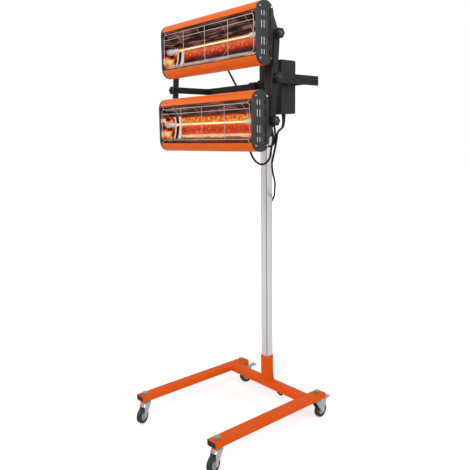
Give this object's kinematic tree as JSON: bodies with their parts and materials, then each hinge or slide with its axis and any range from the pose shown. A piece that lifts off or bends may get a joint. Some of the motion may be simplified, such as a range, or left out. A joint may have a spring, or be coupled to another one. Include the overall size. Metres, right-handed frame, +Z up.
{
  "type": "infrared paint curing lamp",
  "caption": "Paint curing lamp on a wheeled stand: orange trough heads with wire guards on a tilting mast, a height-adjusting post and a control box.",
  "frame": {"origin": "on the floor, under the middle of the footprint without the mains lead", "axes": "+X to the right as the heads are faced from behind the post, -Y the way the heads shine, +Z up"},
  "size_m": [0.5104, 0.5755, 1.318],
  "materials": {
    "orange_paint": "gloss orange enamel",
    "base_paint": "satin red-orange powder coat",
    "black_paint": "satin black powder coat",
    "silver_steel": "bright zinc plate, satin",
    "zinc_steel": "bright zinc plate",
    "tyre": "dark solid rubber",
    "chrome_wire": "polished",
    "bright_aluminium": "polished reflector sheet",
    "quartz_tube": "clear quartz around a lit filament",
    "black_cable": "matt black sheath",
    "black_plastic": "moulded, matt"
  },
  "bodies": {
    "base": {"left_rail": "base_paint", "right_rail": "base_paint", "base_crossbar": "base_paint", "post_socket": "base_paint", "lower_post": "silver_steel", "mains_lead": "black_cable", "mains_hank": "black_cable", "mains_plug": "black_plastic", "left_rail_front_plug": "black_plastic", "left_rail_rear_plug": "black_plastic", "right_rail_front_plug": "black_plastic", "right_rail_rear_plug": "black_plastic", "front_left_caster_stem": "zinc_steel", "front_right_caster_stem": "zinc_steel", "rear_left_caster_stem": "zinc_steel", "rear_right_caster_stem": "zinc_steel"},
    "front_left_swivel": {"front_left_caster_fork": "zinc_steel"},
    "front_left_roller": {"front_left_caster_wheel": "tyre"},
    "front_right_swivel": {"front_right_caster_fork": "zinc_steel"},
    "front_right_roller": {"front_right_caster_wheel": "tyre"},
    "rear_left_swivel": {"rear_left_caster_fork": "zinc_steel"},
    "rear_left_roller": {"rear_left_caster_wheel": "tyre"},
    "rear_right_swivel": {"rear_right_caster_fork": "zinc_steel"},
    "rear_right_roller": {"rear_right_caster_wheel": "tyre"},
    "rear_left_brake": {"rear_left_brake_pedal": "zinc_steel"},
    "rear_right_brake": {"rear_right_brake_pedal": "zinc_steel"},
    "sleeve": {"upper_post": "black_paint", "yoke_hub": "black_paint"},
    "height_clamp": {"height_knob": "black_plastic"},
    "yoke": {"yoke_bar": "black_paint", "right_arm": "black_paint", "control_box": "black_paint", "box_cover": "black_paint", "box_lead": "black_cable", "upper_head_lead": "black_cable", "lower_head_lead": "black_cable"},
    "yoke_clamp": {"yoke_knob": "black_plastic"},
    "mast": {"left_upright": "black_paint", "right_upright": "black_paint"},
    "left_arm_clamp": {"left_arm_knob": "black_plastic"},
    "right_arm_clamp": {"right_arm_knob": "black_plastic"},
    "upper_head": {"upper_shell": "orange_paint", "upper_reflector": "bright_aluminium", "upper_tube": "quartz_tube", "upper_grille": "chrome_wire", "upper_left_cap": "black_paint", "upper_right_cap": "black_paint"},
    "upper_left_clamp": {"upper_left_knob": "black_plastic"},
    "upper_right_clamp": {"upper_right_knob": "black_plastic"},
    "lower_head": {"lower_shell": "orange_paint", "lower_reflector": "bright_aluminium", "lower_tube": "quartz_tube", "lower_grille": "chrome_wire", "lower_left_cap": "black_paint", "lower_right_cap": "black_paint"},
    "lower_left_clamp": {"lower_left_knob": "black_plastic"},
    "lower_right_clamp": {"lower_right_knob": "black_plastic"},
    "timer": {"timer_dial": "black_plastic"},
    "left_rocker": {"left_switch": "black_plastic"},
    "right_rocker": {"right_switch": "black_plastic"}
  },
  "joints": [
    {"name": "front_left_swivel_turn", "type": "hinge", "parent": "base", "child": "front_left_swivel", "pos_m": [-0.1905, -0.22443, 0], "axis": [0, 0, 1], "continuous": true},
    {"name": "front_left_wheel_roll", "type": "hinge", "parent": "front_left_swivel", "child": "front_left_roller", "pos_m": [-0.18179, -0.24354, 0.02484], "axis": [-0.91, -0.4147, 0], "continuous": true},
    {"name": "front_right_swivel_turn", "type": "hinge", "parent": "base", "child": "front_right_swivel", "pos_m": [0.1905, -0.22443, 0], "axis": [0, 0, 1], "continuous": true},
    {"name": "front_right_wheel_roll", "type": "hinge", "parent": "front_right_swivel", "child": "front_right_roller", "pos_m": [0.19629, -0.24462, 0.02484], "axis": [-0.9613, -0.2756, 0], "continuous": true},
    {"name": "rear_left_swivel_turn", "type": "hinge", "parent": "base", "child": "rear_left_swivel", "pos_m": [-0.1905, 0.20557, 0], "axis": [0, 0, 1], "continuous": true},
    {"name": "rear_left_wheel_roll", "type": "hinge", "parent": "rear_left_swivel", "child": "rear_left_roller", "pos_m": [-0.18685, 0.22625, 0.02484], "axis": [0.9848, -0.1736, 0], "continuous": true},
    {"name": "rear_right_swivel_turn", "type": "hinge", "parent": "base", "child": "rear_right_swivel", "pos_m": [0.1905, 0.20557, 0], "axis": [0, 0, 1], "continuous": true},
    {"name": "rear_right_wheel_roll", "type": "hinge", "parent": "rear_right_swivel", "child": "rear_right_roller", "pos_m": [0.18801, 0.22642, 0.02484], "axis": [0.993, 0.1184, 0], "continuous": true},
    {"name": "rear_left_brake_press", "type": "hinge", "parent": "rear_left_swivel", "child": "rear_left_brake", "pos_m": [-0.18477, 0.23807, 0.055], "axis": [-0.9848, 0.1736, 0], "range_deg": [0, 18]},
    {"name": "rear_right_brake_press", "type": "hinge", "parent": "rear_right_swivel", "child": "rear_right_brake", "pos_m": [0.18659, 0.23834, 0.055], "axis": [-0.993, -0.1184, 0], "range_deg": [0, 18]},
    {"name": "height_slide", "type": "slide", "parent": "base", "child": "sleeve", "axis": [0, 0, 1], "range_m": [-0.04, 0.25]},
    {"name": "height_knob_turn", "type": "hinge", "parent": "sleeve", "child": "height_clamp", "pos_m": [0, 0.15892, 0.958], "axis": [1, 0, 0], "range_deg": [-360, 0]},
    {"name": "yoke_roll", "type": "hinge", "parent": "sleeve", "child": "yoke", "pos_m": [0, -0.01078, 1.0918], "axis": [0, 1, 0], "range_deg": [-90, 90], "deforming": ["box_lead"]},
    {"name": "yoke_knob_turn", "type": "hinge", "parent": "sleeve", "child": "yoke_clamp", "pos_m": [0, 0.10222, 1.0918], "axis": [0, 1, 0], "range_deg": [0, 360]},
    {"name": "mast_tilt", "type": "hinge", "parent": "yoke", "child": "mast", "pos_m": [0, -0.03358, 1.0918], "axis": [1, 0, 0], "range_deg": [-30, 25]},
    {"name": "left_arm_knob_turn", "type": "hinge", "parent": "mast", "child": "left_arm_clamp", "pos_m": [0, -0.03358, 1.0918], "axis": [1, 0, 0], "range_deg": [-360, 0]},
    {"name": "right_arm_knob_turn", "type": "hinge", "parent": "mast", "child": "right_arm_clamp", "pos_m": [0, -0.03358, 1.0918], "axis": [-1, 0, 0], "range_deg": [-360, 0]},
    {"name": "upper_head_tilt", "type": "hinge", "parent": "mast", "child": "upper_head", "pos_m": [0, -0.02496, 1.20648], "axis": [1, 0, 0], "range_deg": [-60, 38], "deforming": ["upper_head_lead"]},
    {"name": "upper_left_knob_turn", "type": "hinge", "parent": "upper_head", "child": "upper_left_clamp", "pos_m": [0, -0.02496, 1.20648], "axis": [1, 0, 0], "range_deg": [-360, 0]},
    {"name": "upper_right_knob_turn", "type": "hinge", "parent": "upper_head", "child": "upper_right_clamp", "pos_m": [0, -0.02496, 1.20648], "axis": [-1, 0, 0], "range_deg": [-360, 0]},
    {"name": "lower_head_tilt", "type": "hinge", "parent": "mast", "child": "lower_head", "pos_m": [0, -0.0422, 0.97712], "axis": [1, 0, 0], "range_deg": [-38, 60], "deforming": ["lower_head_lead"]},
    {"name": "lower_left_knob_turn", "type": "hinge", "parent": "lower_head", "child": "lower_left_clamp", "pos_m": [0, -0.0422, 0.97712], "axis": [1, 0, 0], "range_deg": [-360, 0]},
    {"name": "lower_right_knob_turn", "type": "hinge", "parent": "lower_head", "child": "lower_right_clamp", "pos_m": [0, -0.0422, 0.97712], "axis": [-1, 0, 0], "range_deg": [-360, 0]},
    {"name": "timer_turn", "type": "hinge", "parent": "yoke", "child": "timer", "pos_m": [0.1764, 0.07022, 1.10425], "axis": [0, 1, 0], "range_deg": [-300, 0]},
    {"name": "left_switch_rock", "type": "hinge", "parent": "yoke", "child": "left_rocker", "pos_m": [0.1634, 0.07022, 1.04225], "axis": [1, 0, 0], "range_deg": [-16, 0]},
    {"name": "right_switch_rock", "type": "hinge", "parent": "yoke", "child": "right_rocker", "pos_m": [0.1894, 0.07022, 1.04225], "axis": [1, 0, 0], "range_deg": [-16, 0]}
  ]
}
